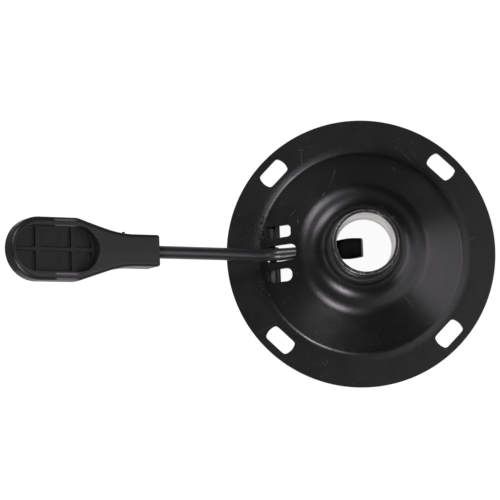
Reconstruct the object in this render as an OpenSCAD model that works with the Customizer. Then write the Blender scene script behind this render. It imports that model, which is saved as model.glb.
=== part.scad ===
// Round seat plate of a swivel stool: a pressed dish with a tapered socket for
// the gas column, and the hinged lever that releases the column.
// The seat face lies at z = 0, the socket opens towards +Z, the lever runs to -X.

/* [Seat plate] */
// Diameter of the round flange
flange_d = 136; // [128:1:150]
// Thickness of the pressed sheet
sheet_t = 2.1; // [1.8:0.1:2.3]
// Diameter at which the flange bends up into the cone
bend_d = 102.6; // [98:0.2:108]
// Diameter at which the cone meets the flat crown
crown_d = 61.2; // [59:0.2:63]
// Height of the crown's outer face above the seat face
crown_z = 20.4; // [19.4:0.1:21.4]
// Height of the neck's straight end above its bend
neck_lip = 0.2; // [0.1:0.1:2]
// Outer bend radius where the flange turns up
flange_bend_r = 3; // [1:0.5:4]
// Outer radius of the crown's shoulder
shoulder_r = 4; // [2:0.5:6]
// Radius of the hollow between crown and neck
neck_bend_r = 8.6; // [6:0.2:9]

/* [Fixing slots] */
// Centre distance of neighbouring slots, which form a square
slot_pitch = 85; // [82:0.5:87]
// Width of a slot
slot_w = 8.4; // [6:0.2:9]
// Overall length of a slot, along the flange
slot_l = 15.3; // [12:0.1:17]
// Radius of a slot's rounded ends
slot_end_r = 5.5; // [4.6:0.1:7]

/* [Lever windows] */
// Height of the windows' outer ends above the flange's face
window_rise = 2.65; // [2.4:0.05:3]
// Width of the middle window, which the lever passes
lever_window_w = 9.5; // [8.6:0.1:10]
// Gap left between the lever and the middle window's inner end
rest_gap = 0.3; // [0.1:0.05:0.6]
// Corner radius of the middle window
lever_window_r = 2; // [1:0.1:3]
// Width of each side window, under which the pin is held
side_window_w = 6.8; // [6.6:0.1:7.4]
// Length of each side window
side_window_l = 13.5; // [12:0.1:15]
// Corner radius of each side window
side_window_r = 3; // [1:0.1:3.2]
// Width of the strip of sheet left between two windows
window_strip = 2.75; // [2:0.05:4]

/* [Taper socket] */
// Outer diameter of the socket collar
collar_d = 32.2; // [31.6:0.1:33]
// Bore diameter at the mouth, for a 28 mm column taper
socket_d = 28.7; // [28:0.1:29]
// Length over which the bore narrows by one unit of diameter
taper_ratio = 20; // [15:1:30]
// Length of the collar
collar_l = 22; // [18:0.5:30]
// Depth to which the collar sits in the neck
collar_seat = 3.2; // [1:0.2:4]
// Chamfer on the collar's outer edges
collar_chamfer = 0.5; // [0.2:0.1:0.8]
// Chamfer on the bore's mouth
mouth_chamfer = 0.3; // [0.1:0.1:0.6]
// Number of turned grooves round the collar
groove_count = 3; // [0:1:5]
// Width of a turned groove
groove_w = 0.9; // [0.4:0.1:1.4]
// Depth of a turned groove
groove_depth = 0.3; // [0.1:0.1:0.6]
// Distance between turned grooves
groove_pitch = 3.2; // [2:0.1:3.4]
// Distance from the mouth to the first groove
groove_start = 4.4; // [3:0.2:6]
// Width of the weld bead round the collar's foot
weld_w = 2; // [1.4:0.1:2.1]
// Height of the weld bead up the collar
weld_h = 1.9; // [1:0.1:2.6]

/* [Pivot] */
// Diameter of the pivot pin
pin_d = 3; // [2.6:0.1:3.2]
// Length of the pivot pin
pin_l = 27.2; // [25:0.1:27.6]
// Distance from the windows' outer ends to the pin
pin_inset = 3.65; // [3.2:0.05:3.9]
// Width of each cradle tab that carries the pin
cradle_w = 6; // [4:0.1:6.4]
// Gap between the cradle tabs and the seat face
seat_gap = 0.2; // [0.1:0.05:0.3]
// Radial running clearance of the pin in its cradles
pin_clear = 0.05; // [0.02:0.01:0.08]
// Angle below the horizontal at which a cradle leaves the sheet, degrees
cradle_start = 20; // [10:5:30]
// Depth to which a cradle's root reaches into the sheet
cradle_root = 0.3; // [0.2:0.1:0.6]
// Angle by which a cradle wraps the pin past its underside, degrees
cradle_wrap = 90; // [60:5:100]
// Width of the weld between pin and lever, each side of the lever
pin_weld_w = 1; // [0.6:0.1:1.1]
// Thickness of the weld over the pin
pin_weld_t = 0.9; // [0.6:0.1:1]

/* [Lever] */
// Diameter of the lever's round bar
rod_d = 6.3; // [6:0.1:6.4]
// Centreline radius of the bend at the pivot
lever_bend_r = 14; // [12:0.5:16]
// Rise of the outer arm, degrees
outer_rise = 30; // [24:1:34]
// Rise of the inner arm, degrees
inner_rise = 19.5; // [17:0.5:19.5]
// Length of bare bar between the bend and the grip
bare_l = 59.2; // [40:0.2:80]
// Distance by which the tongue stops short of the socket's axis
tip_inset = 0.5; // [0:0.1:4]
// Greatest width of the flattened tongue
tongue_w = 10.4; // [8:0.1:11.5]
// Thickness of the tongue
tongue_t = 3.5; // [3:0.1:4.4]
// Width of the tongue's cut end
tip_w = 9.3; // [7:0.1:10]
// Length over which the bar spreads out to the greatest width
spread_l = 18.5; // [14:0.5:19]
// Length of the tongue from its greatest width to its end
tip_l = 7; // [4:0.5:8]

/* [Grip] */
// Overall length of the grip
grip_l = 77.2; // [76:0.2:110]
// Greatest width of the grip
grip_w = 29.8; // [28:0.2:36]
// Thickness of the paddle
paddle_t = 8.5; // [7:0.5:12]
// Width of the neck where the bar enters
ferrule_w = 15; // [12:0.5:17]
// Thickness of the neck
ferrule_t = 12; // [10:0.5:14]
// Length of the straight neck
ferrule_l = 12; // [8:0.5:15]
// Length over which the neck flares to the full width
flare_l = 30; // [22:0.5:34]
// Depth of the grip's bore beyond its mouth
grip_bore_l = 30; // [20:0.5:31]
// Width of the recess in the paddle's face
recess_w = 21.8; // [18:0.2:24]
// Length of the recess
recess_l = 43.9; // [36:0.1:44.4]
// Depth of the recess
recess_depth = 5.5; // [3.5:0.5:6]
// Wall between the recess and the paddle's end
rim_w = 2; // [1.6:0.1:7]
// Thickness of the two cross ribs
cross_rib_t = 2.2; // [1.2:0.1:3]
// Distance between the cross ribs
rib_pitch = 18.6; // [14:0.2:24]
// Distance from the recess's outer end to the outer cross rib
rib_start = 12; // [8:0.2:14]
// Thickness of the long rib
long_rib_t = 1.4; // [1:0.1:2.4]
// Depth of the ribs' tops below the paddle's face
rib_drop = 1.8; // [1:0.1:3]
// Diameter of the ejector marks in the recess
mark_d = 5.5; // [3:0.5:7]
// Depth of the ejector marks
mark_depth = 0.3; // [0.1:0.1:0.6]
// Length over which the neck's thickness runs down to the paddle's
slope_l = 18; // [12:1:24]

/* [Hidden] */
$fn = 96;
// Overrun of cuts past the faces they open
over = 1;
// Fit between pieces that are welded or pressed together
weld_fit = 0.02;
// Smallest overlap that joins shapes inside one piece
bite = 0.05;
// How much the bar's radius shrinks in its bend
bend_thin = 0.02;
// Steps in each rounded bend of the pressed sheet
bend_steps = 10;
// Thickness of the thin slices between which the lever is flattened
slice = 0.05;

flange_r = flange_d / 2;
collar_r = collar_d / 2;
neck_r = collar_r + weld_fit;
bend_r = bend_d / 2;
crown_r = crown_d / 2;
cone_angle = atan((crown_z - sheet_t) / (bend_r - crown_r));

// Windows: their outer ends from the socket's axis, and the centre line of each
// side window from the lever's axis
window_x = bend_r - window_rise / tan(cone_angle);
side_window_y = lever_window_w / 2 + window_strip + side_window_w / 2;

// Pivot: the cradle tab lies between the seat and the pin
pin_r = pin_d / 2;
cradle_in_r = pin_r + pin_clear;
cradle_out_r = cradle_in_r + sheet_t;
pin_x = window_x - pin_inset;
pin_z = seat_gap + cradle_out_r;

// Lever: the bend's centre stands above the pin, and the bar rests on the pin
rod_r = rod_d / 2;
bend_centre_z = pin_z + pin_r + rod_r + lever_bend_r;
outer_bend_x = -pin_x - lever_bend_r * sin(outer_rise);
outer_bend_z = bend_centre_z - lever_bend_r * cos(outer_rise);
inner_bend_x = -pin_x + lever_bend_r * sin(inner_rise);
inner_bend_z = bend_centre_z - lever_bend_r * cos(inner_rise);
inner_l = (-tip_inset - inner_bend_x) / cos(inner_rise) - spread_l - tip_l;

// The middle window ends where the bar's top passes under the sheet with a gap
bar_top_z = inner_bend_z + rod_r / cos(inner_rise) - inner_bend_x * tan(inner_rise);
sheet_under_z = sheet_t - sheet_t / cos(cone_angle) + bend_r * tan(cone_angle);
lever_window_l = window_x
    - (sheet_under_z - bar_top_z - rest_gap) / (tan(cone_angle) - tan(inner_rise));

// Grip: the arc that flares the neck meets the paddle's side in a soft corner
grip_r = grip_w / 2;
ferrule_r = ferrule_w / 2;
flare_x = ferrule_l + flare_l;
flare_rise = grip_r - ferrule_r;
flare_turn_share = 0.47;
flare_width_share = 0.3;

neck_z = crown_z + neck_bend_r + neck_lip;
collar_z = neck_z - collar_seat;
mouth_z = collar_z + collar_l;
socket_small_d = socket_d - collar_l / taper_ratio;

// Point where two lines through a and b, at angles p and q, cross
function cross_at(a, p, b, q) =
    let (d = cos(p) * sin(q) - sin(p) * cos(q),
         k = ((b[0] - a[0]) * sin(q) - (b[1] - a[1]) * cos(q)) / d)
    [a[0] + k * cos(p), a[1] + k * sin(p)];

// Points of a rounded bend at a corner, entered in direction from, turned by turn
function bend_arc(corner, from, turn, r) =
    let (s = sign(turn),
         run = r * tan(abs(turn) / 2),
         start = [corner[0] - run * cos(from), corner[1] - run * sin(from)],
         c = [start[0] - s * r * sin(from), start[1] + s * r * cos(from)])
    [for (i = [0 : bend_steps])
        let (a = from + turn * i / bend_steps)
        [c[0] + s * r * sin(a), c[1] - s * r * cos(a)]];

// Points of the sheet's outline at distance d under its outer face, which runs
// flange, cone, crown, neck, with an arc at each bend
function sheet_face(d) =
    let (flat = 180,
         up = 180 - cone_angle,
         flange_at = [bend_r, sheet_t - d],
         cone_at = [bend_r - d * sin(cone_angle), sheet_t - d * cos(cone_angle)],
         crown_at = [crown_r, crown_z - d],
         neck_at = [neck_r + sheet_t - d, neck_z],
         a = cross_at(flange_at, flat, cone_at, up),
         b = cross_at(cone_at, up, crown_at, flat),
         c = [neck_at[0], crown_z - d])
    concat([[flange_r, sheet_t - d]],
           bend_arc(a, flat, -cone_angle, flange_bend_r + d),
           bend_arc(b, up, cone_angle, shoulder_r - d),
           bend_arc(c, flat, -90, neck_bend_r + d),
           [neck_at]);

function reversed(v) = [for (i = [len(v) - 1 : -1 : 0]) v[i]];

// Flat shape of a fixing slot: straight sides and gently rounded ends
module slot_shape() {
    intersection() {
        square([slot_l, slot_w], center = true);
        union() {
            for (side = [-1, 1])
                translate([side * (slot_l / 2 - slot_end_r), 0])
                    circle(r = slot_end_r);
            square([slot_l - 2 * slot_end_r, 2 * slot_end_r], center = true);
        }
    }
}

// Flat shape of a window with rounded corners, outer end at x = 0
module window_shape(l, w, r) {
    union() {
        translate([r, -w / 2]) square([l - 2 * r, w]);
        translate([0, -w / 2 + r]) square([l, w - 2 * r]);
        for (x = [r, l - r], y = [r - w / 2, w / 2 - r])
            translate([x, y]) circle(r = r);
    }
}

// One bent tab that passes under the pin, cut from the sheet of a side window
module cradle_tab() {
    translate([-pin_x, cradle_w / 2, pin_z])
        rotate([90, 0, 0])
            linear_extrude(height = cradle_w)
                difference() {
                    union() {
                        intersection() {
                            circle(r = cradle_out_r);
                            union() {
                                rotate([0, 0, cradle_start])
                                    translate([-cradle_out_r, -cradle_out_r])
                                        square([cradle_out_r, cradle_out_r]);
                                rotate([0, 0, -90])
                                    square([cradle_out_r, cradle_out_r * sin(cradle_wrap)]);
                            }
                        }
                        translate([-pin_inset - cradle_root, -cradle_in_r])
                            square([pin_inset + cradle_root - cradle_in_r,
                                    cradle_in_r * (1 - sin(cradle_start))]);
                    }
                    circle(r = cradle_in_r);
                }
}

module mounting_plate() {
    color([0.05, 0.05, 0.055]) {
        difference() {
            rotate_extrude()
                polygon(concat(sheet_face(0), reversed(sheet_face(sheet_t))));
            for (a = [45 : 90 : 315])
                rotate([0, 0, a])
                    translate([slot_pitch / sqrt(2), 0, -over])
                        rotate([0, 0, 90])
                            linear_extrude(height = sheet_t + 2 * over) slot_shape();
            translate([-window_x, 0, -over])
                linear_extrude(height = neck_z)
                    window_shape(lever_window_l, lever_window_w, lever_window_r);
            for (side = [-1, 1])
                translate([-window_x, side * side_window_y, -over])
                    linear_extrude(height = neck_z)
                        window_shape(side_window_l, side_window_w, side_window_r);
            translate([-pin_x, pin_l / 2 + pin_clear, pin_z])
                rotate([90, 0, 0]) cylinder(r = cradle_in_r, h = pin_l + 2 * pin_clear);
        }
        for (side = [-1, 1])
            translate([0, side * side_window_y, 0]) cradle_tab();
    }
}

module taper_collar() {
    color([0.08, 0.08, 0.085])
        difference() {
            translate([0, 0, collar_z])
                rotate_extrude()
                    polygon([
                        [socket_small_d / 2, 0],
                        [collar_r - collar_chamfer, 0],
                        [collar_r, collar_chamfer],
                        [collar_r, collar_l - collar_chamfer],
                        [collar_r - collar_chamfer, collar_l],
                        [socket_d / 2 + mouth_chamfer, collar_l],
                        [socket_d / 2, collar_l - mouth_chamfer]
                    ]);
            for (i = [0 : 1 : groove_count - 1])
                translate([0, 0, mouth_z - groove_start - i * groove_pitch])
                    rotate_extrude()
                        translate([collar_r - groove_depth, -groove_w / 2])
                            square([groove_depth + over, groove_w]);
        }
}

module collar_weld() {
    color([0.06, 0.06, 0.065])
        translate([0, 0, neck_z])
            rotate_extrude()
                polygon(concat(
                    [[neck_r, 0], [neck_r, weld_h]],
                    [for (i = [1 : bend_steps])
                        let (a = 90 - 90 * i / bend_steps)
                        [neck_r + weld_w * cos(a), weld_h * sin(a)]]));
}

// Slice of the tongue: a flat bar with round edges, w wide and t thick
module tongue_slice(w, t) {
    rotate([0, 90, 0])
        linear_extrude(height = slice)
            union() {
                square([t, w - t], center = true);
                for (side = [-1, 1])
                    translate([0, side * (w - t) / 2]) circle(d = t, $fn = 32);
            }
}

module lever_rod() {
    color([0.05, 0.05, 0.055]) {
        translate([-pin_x, 0, bend_centre_z])
            rotate([90, 0, 0])
                rotate([0, 0, 270 - outer_rise])
                    rotate_extrude(angle = outer_rise + inner_rise)
                        translate([lever_bend_r, 0]) circle(r = rod_r - bend_thin);
        translate([outer_bend_x, 0, outer_bend_z])
            rotate([0, outer_rise - 90, 0])
                translate([0, 0, -bite]) cylinder(r = rod_r, h = bare_l + grip_bore_l + bite);
        translate([inner_bend_x, 0, inner_bend_z])
            rotate([0, -inner_rise, 0]) {
                translate([-bite, 0, 0])
                    rotate([0, 90, 0]) cylinder(r = rod_r, h = inner_l + bite);
                hull() {
                    translate([inner_l - slice, 0, 0])
                        rotate([0, 90, 0])
                            cylinder(r = rod_r - bend_thin, h = slice, $fn = 32);
                    translate([inner_l + spread_l, 0, 0]) tongue_slice(tongue_w, tongue_t);
                }
                hull() {
                    translate([inner_l + spread_l, 0, 0]) tongue_slice(tongue_w, tongue_t);
                    translate([inner_l + spread_l + tip_l, 0, 0]) tongue_slice(tip_w, tongue_t);
                }
            }
    }
}

module pivot_pin() {
    color([0.12, 0.12, 0.12])
        translate([-pin_x, pin_l / 2, pin_z])
            rotate([90, 0, 0]) cylinder(r = pin_r, h = pin_l);
}

// The two short beads that fasten the pin across the bar, one on each side of it
module pin_weld() {
    bead_l = rod_r + pin_weld_w;
    color([0.06, 0.06, 0.065])
        difference() {
            translate([-pin_x, bead_l, pin_z])
                rotate([90, 0, 0]) cylinder(r = pin_r + pin_weld_t, h = 2 * bead_l);
            translate([-pin_x, bead_l + over, pin_z])
                rotate([90, 0, 0]) cylinder(r = pin_r + weld_fit, h = 2 * (bead_l + over));
            translate([-pin_x - pin_d - pin_weld_t, -bead_l - over, -pin_z])
                cube([2 * (pin_d + pin_weld_t), 2 * (bead_l + over), 2 * pin_z]);
            translate([-pin_x, 0, bend_centre_z])
                rotate([90, 0, 0])
                    rotate_extrude()
                        translate([lever_bend_r, 0]) circle(r = rod_r + weld_fit);
        }
}

// Outline of the grip's upper half, from the neck's mouth to the flare's end:
// an arc that leaves the neck smoothly, then a straight run to the corner
function flare_points() = concat(
    [[0, ferrule_r], [ferrule_l, ferrule_r]],
    [for (i = [1 : bend_steps])
        let (u = i / bend_steps)
        [ferrule_l + flare_l * flare_turn_share * u,
         ferrule_r + flare_rise * flare_width_share * u * u]],
    [[flare_x, grip_r]]);

// Flat outline of the grip, seen square to its face
module grip_shape() {
    half = concat(flare_points(), [[grip_l - grip_r, grip_r]]);
    union() {
        polygon(concat(half, reversed([for (p = half) [p[0], -p[1]]])));
        translate([grip_l - grip_r, 0]) circle(r = grip_r);
    }
}

// Side outline of the grip: the thick neck runs down to the thin paddle
module grip_side_shape() {
    half = [[0, ferrule_t / 2], [ferrule_l, ferrule_t / 2],
            [ferrule_l + slope_l, paddle_t / 2], [grip_l + over, paddle_t / 2]];
    polygon(concat(half, reversed([for (p = half) [p[0], -p[1]]])));
}

// Flat outline of the recess
module recess_shape() {
    r = recess_w / 2;
    outer = grip_l - rim_w - r;
    inner = grip_l - rim_w - recess_l + r;
    union() {
        translate([inner, -r]) square([outer - inner, recess_w]);
        for (x = [inner, outer]) translate([x, 0]) circle(r = r);
    }
}

module grip_ribs() {
    floor_z = paddle_t / 2 - recess_depth;
    rib_h = recess_depth - rib_drop;
    outer = grip_l - rim_w;
    intersection() {
        translate([0, 0, floor_z - bite])
            linear_extrude(height = rib_h + bite) recess_shape();
        union() {
            for (i = [0, 1])
                translate([outer - rib_start - i * rib_pitch - cross_rib_t / 2,
                           -recess_w, floor_z - over])
                    cube([cross_rib_t, 2 * recess_w, recess_depth + over]);
            translate([outer - recess_l - over, -long_rib_t / 2, floor_z - over])
                cube([recess_l + 2 * over, long_rib_t, recess_depth + over]);
        }
    }
}

module handle_grip() {
    color([0.09, 0.09, 0.095])
        translate([outer_bend_x, 0, outer_bend_z])
            rotate([0, outer_rise, 0])
                rotate([0, 0, 180])
                    translate([bare_l, 0, 0]) {
                        difference() {
                            intersection() {
                                translate([0, 0, -ferrule_t / 2])
                                    linear_extrude(height = ferrule_t) grip_shape();
                                translate([0, grip_w / 2, 0])
                                    rotate([90, 0, 0])
                                        linear_extrude(height = grip_w) grip_side_shape();
                            }
                            translate([0, 0, paddle_t / 2 - recess_depth])
                                linear_extrude(height = recess_depth + over) recess_shape();
                            for (side = [-1, 1])
                                translate([grip_l - rim_w - rib_start - rib_pitch / 2,
                                           side * recess_w / 4,
                                           paddle_t / 2 - recess_depth - mark_depth])
                                    cylinder(d = mark_d, h = recess_depth);
                            translate([-over, 0, 0])
                                rotate([0, 90, 0])
                                    cylinder(r = rod_r + weld_fit, h = grip_bore_l + weld_fit + over);
                        }
                        grip_ribs();
                    }
}

mounting_plate();
taper_collar();
collar_weld();
lever_rod();
pivot_pin();
pin_weld();
handle_grip();
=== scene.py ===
"""Looks for the swivel seat plate.

The pressed dish, the taper sleeve, the hinged release lever and the moulded grip are modelled
and finished here. Lengths in the classes are millimetres in the frame of the CAD part, and
meshes are in metres.
"""

from __future__ import annotations

import logging
import math
import random
from dataclasses import dataclass, field
from enum import Enum
from functools import reduce
from typing import Callable, Sequence

import bmesh
import bpy
from mathutils import Matrix, Vector, noise


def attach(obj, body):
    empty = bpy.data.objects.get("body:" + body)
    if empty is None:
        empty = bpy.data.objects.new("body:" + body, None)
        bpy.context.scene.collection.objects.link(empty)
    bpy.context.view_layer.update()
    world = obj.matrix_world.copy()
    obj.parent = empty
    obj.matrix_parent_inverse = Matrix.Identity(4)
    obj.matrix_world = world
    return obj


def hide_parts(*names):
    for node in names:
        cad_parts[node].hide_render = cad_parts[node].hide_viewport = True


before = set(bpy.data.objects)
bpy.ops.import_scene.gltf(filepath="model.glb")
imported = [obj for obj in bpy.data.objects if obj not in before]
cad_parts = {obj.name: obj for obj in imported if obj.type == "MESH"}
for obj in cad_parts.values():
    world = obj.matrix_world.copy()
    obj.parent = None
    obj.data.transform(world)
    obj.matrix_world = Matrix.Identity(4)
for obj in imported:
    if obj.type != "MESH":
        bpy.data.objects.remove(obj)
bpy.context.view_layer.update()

LOG = logging.getLogger("seat_plate")
MM = 0.001
TAU = 2 * math.pi
FAR = 200.0
Point2 = tuple[float, float]
Point3 = tuple[float, float, float]
Colour = tuple[float, float, float]
Piece = bpy.types.Object
Socket = bpy.types.NodeSocket


class Body(Enum):
    """The two bodies that the hinge joins."""

    PLATE = "plate"
    LEVER = "lever"


class Side(Enum):
    """The two sides of the lever, along the pivot pin."""

    UPPER = 1
    LOWER = -1


# Shader building


class Num:
    """A shader value that turns Python arithmetic into Math nodes."""

    def __init__(self, nodes: "Nodes", socket: Socket) -> None:
        """Wraps one output socket of a node tree."""
        self.nodes = nodes
        self.socket = socket

    def _math(self, operation: str, *values: "Num | float") -> "Num":
        """Adds a Math node on the given values."""
        sockets = dict(enumerate(values))
        return self.nodes.value("ShaderNodeMath", {"operation": operation}, sockets)

    def __add__(self, other: "Num | float") -> "Num":
        """Sum."""
        return self._math("ADD", self, other)

    __radd__ = __add__

    def __sub__(self, other: "Num | float") -> "Num":
        """Difference."""
        return self._math("SUBTRACT", self, other)

    def __rsub__(self, other: float) -> "Num":
        """Difference with a number in front."""
        return self._math("SUBTRACT", other, self)

    def __mul__(self, other: "Num | float") -> "Num":
        """Product."""
        return self._math("MULTIPLY", self, other)

    __rmul__ = __mul__

    def top(self, other: "Num | float") -> "Num":
        """The larger of two values."""
        return self._math("MAXIMUM", self, other)

    def low(self, other: "Num | float") -> "Num":
        """The smaller of two values."""
        return self._math("MINIMUM", self, other)

    def wave(self) -> "Num":
        """Sine."""
        return self._math("SINE", self)

    def size(self) -> "Num":
        """The value without its sign."""
        return self._math("ABSOLUTE", self)

    def hypot(self, other: "Num") -> "Num":
        """Length of the flat vector of two values."""
        return self._math("SQRT", self * self + other * other)

    def step(self, start: float, end: float) -> "Num":
        """A smooth step from 0 at start to 1 at end.

        Args:
            start: The value that gives 0.
            end: The value that gives 1, above or below start.

        Returns:
            The mask.
        """
        up = start < end
        sockets = {
            "Value": self,
            "From Min": min(start, end),
            "From Max": max(start, end),
            "To Min": 0.0 if up else 1.0,
            "To Max": 1.0 if up else 0.0,
        }
        return self.nodes.value(
            "ShaderNodeMapRange", {"interpolation_type": "SMOOTHSTEP"}, sockets)

    def edge(self, start: float, end: float) -> "Num":
        """A smooth step of a value in metres, between two places in millimetres."""
        return self.step(start * MM, end * MM)


class Nodes:
    """A node tree that is built in code."""

    def __init__(self, tree: bpy.types.NodeTree) -> None:
        """Empties the tree and keeps it."""
        self.tree = tree
        self.tree.nodes.clear()

    def add(self, kind: str, settings: dict, sockets: dict) -> bpy.types.Node:
        """Adds a node.

        Args:
            kind: The node's type name.
            settings: Attributes to set on the node first.
            sockets: Values or links for its inputs, by name or number.

        Returns:
            The node.
        """
        node = self.tree.nodes.new(kind)
        for name, value in settings.items():
            setattr(node, name, value)
        for name, value in sockets.items():
            self.feed(node.inputs[name], value)
        return node

    def feed(self, socket: Socket, value: object) -> None:
        """Links or sets one input socket.

        Args:
            socket: The input.
            value: A value or socket to link, or a number, colour or vector to set.
        """
        if isinstance(value, Num):
            value = value.socket
        if isinstance(value, Socket):
            self.tree.links.new(value, socket)
        elif isinstance(value, tuple) and len(value) == 3 and socket.type == "RGBA":
            socket.default_value = (*value, 1.0)
        else:
            socket.default_value = value

    def value(self, kind: str, settings: dict, sockets: dict, out: int | str = 0) -> Num:
        """Adds a node and wraps one of its outputs."""
        return Num(self, self.add(kind, settings, sockets).outputs[out])

    def blend(self, mask: Num, low: object, high: object) -> Socket:
        """Mixes two colours by a mask."""
        node = self.add("ShaderNodeMix", {"data_type": "RGBA"}, {0: mask, 6: low, 7: high})
        return node.outputs[2]


class Shader(Nodes):
    """One node material, built round its Principled shader."""

    def __init__(self, name: str) -> None:
        """Starts a material with its output and Principled nodes.

        Args:
            name: The material's name.
        """
        self.material = bpy.data.materials.new(name)
        self.material.use_nodes = True
        super().__init__(self.material.node_tree)
        self.output = self.tree.nodes.new("ShaderNodeOutputMaterial")
        self.principled = self.tree.nodes.new("ShaderNodeBsdfPrincipled")
        self.tree.links.new(self.principled.outputs[0], self.output.inputs["Surface"])

    def place(self, centre: Sequence[float] = (0, 0, 0), turn: Sequence[float] = (0, 0, 0),
              scale: Sequence[float] = (1, 1, 1)) -> Socket:
        """Object coordinates seen from a centre, turned and stretched.

        Args:
            centre: The pattern's centre in metres.
            turn: The pattern's turn in radians, about each axis.
            scale: Cells per metre along each turned axis.

        Returns:
            The coordinates.
        """
        here = self.add("ShaderNodeTexCoord", {}, {}).outputs["Object"]
        moved = self.add("ShaderNodeMapping", {"vector_type": "TEXTURE"},
                         {"Vector": here, "Location": tuple(centre), "Rotation": tuple(turn)})
        return self.add("ShaderNodeVectorMath", {"operation": "MULTIPLY"},
                        {0: moved.outputs[0], 1: tuple(scale)}).outputs[0]

    def axes(self, vector: Socket) -> tuple[Num, Num, Num]:
        """Splits a vector into its three values."""
        outputs = self.add("ShaderNodeSeparateXYZ", {}, {0: vector}).outputs
        return Num(self, outputs[0]), Num(self, outputs[1]), Num(self, outputs[2])

    def noise(self, vector: Socket, scale: float, detail: float = 3.0, rough: float = 0.5) -> Num:
        """Noise of about one cell in 1/scale metres."""
        sockets = {"Vector": vector, "Scale": scale, "Detail": detail, "Roughness": rough}
        return self.value("ShaderNodeTexNoise", {}, sockets)

    def grains(self, vector: Socket, scale: float) -> Num:
        """Distance to the nearest of scattered points, for speckles."""
        sockets = {"Vector": vector, "Scale": scale}
        return self.value("ShaderNodeTexVoronoi", {}, sockets, "Distance")

    def bump(self, height: Num, depth: float) -> Socket:
        """A bump of the given depth in millimetres."""
        sockets = {"Height": height, "Distance": depth * MM, "Strength": 1.0}
        return self.add("ShaderNodeBump", {}, sockets).outputs[0]

    def finish(self, colour: Socket, rough: Num, normal: Socket, specular: float,
               metal: Num | float = 0.0) -> bpy.types.Material:
        """Feeds the Principled shader.

        Args:
            colour: The base colour.
            rough: The roughness.
            normal: The bump.
            specular: The specular level, the same all over.
            metal: The metallic share.

        Returns:
            The material.
        """
        inputs = self.principled.inputs
        self.feed(inputs["Base Color"], colour)
        self.feed(inputs["Roughness"], rough)
        self.feed(inputs["Metallic"], metal)
        self.feed(inputs["Normal"], normal)
        inputs["Specular IOR Level"].default_value = specular
        return self.material


@dataclass(frozen=True)
class Scratch:
    """One scratch in the paint, from start to end on the plate seen from above."""

    start: Point2
    end: Point2
    width: float
    strength: float
    core: float = 0.3

    def mask(self, x: Num, y: Num) -> Num:
        """Mask of the scratch, full in its core.

        Args:
            x: The surface's x in metres.
            y: The surface's y in metres.

        Returns:
            The mask.
        """
        ax, ay = (v * MM for v in self.start)
        dx, dy = (self.end[0] - self.start[0]) * MM, (self.end[1] - self.start[1]) * MM
        u, v = x - ax, y - ay
        along = ((u * dx + v * dy) * (1 / (dx * dx + dy * dy))).top(0.0).low(1.0)
        away = (u - along * dx).hypot(v - along * dy)
        return away.edge(self.width, self.width * self.core) * self.strength


PLATE_SCRATCHES = (
    Scratch((-28.3, 46.0), (-28.1, 52.3), 0.16, 0.6),
    Scratch((-29.2, 54.0), (-27.6, 53.5), 0.3, 0.5),
    Scratch((-11.6, 41.9), (-13.2, 37.5), 0.16, 0.9),
    Scratch((-13.2, 37.5), (-15.4, 31.5), 0.12, 0.5),
    Scratch((-18.9, 27.7), (-17.9, 28.9), 0.4, 0.6),
    Scratch((-31.8, 14.5), (-31.75, 16.3), 0.2, 1.0),
    Scratch((-35.1, 19.0), (-32.4, 21.5), 0.16, 0.6),
    Scratch((17.1, 42.5), (19.1, 40.4), 0.2, 0.9),
    Scratch((20.2, -8.6), (21.0, -9.2), 0.35, 0.6),
)


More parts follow.
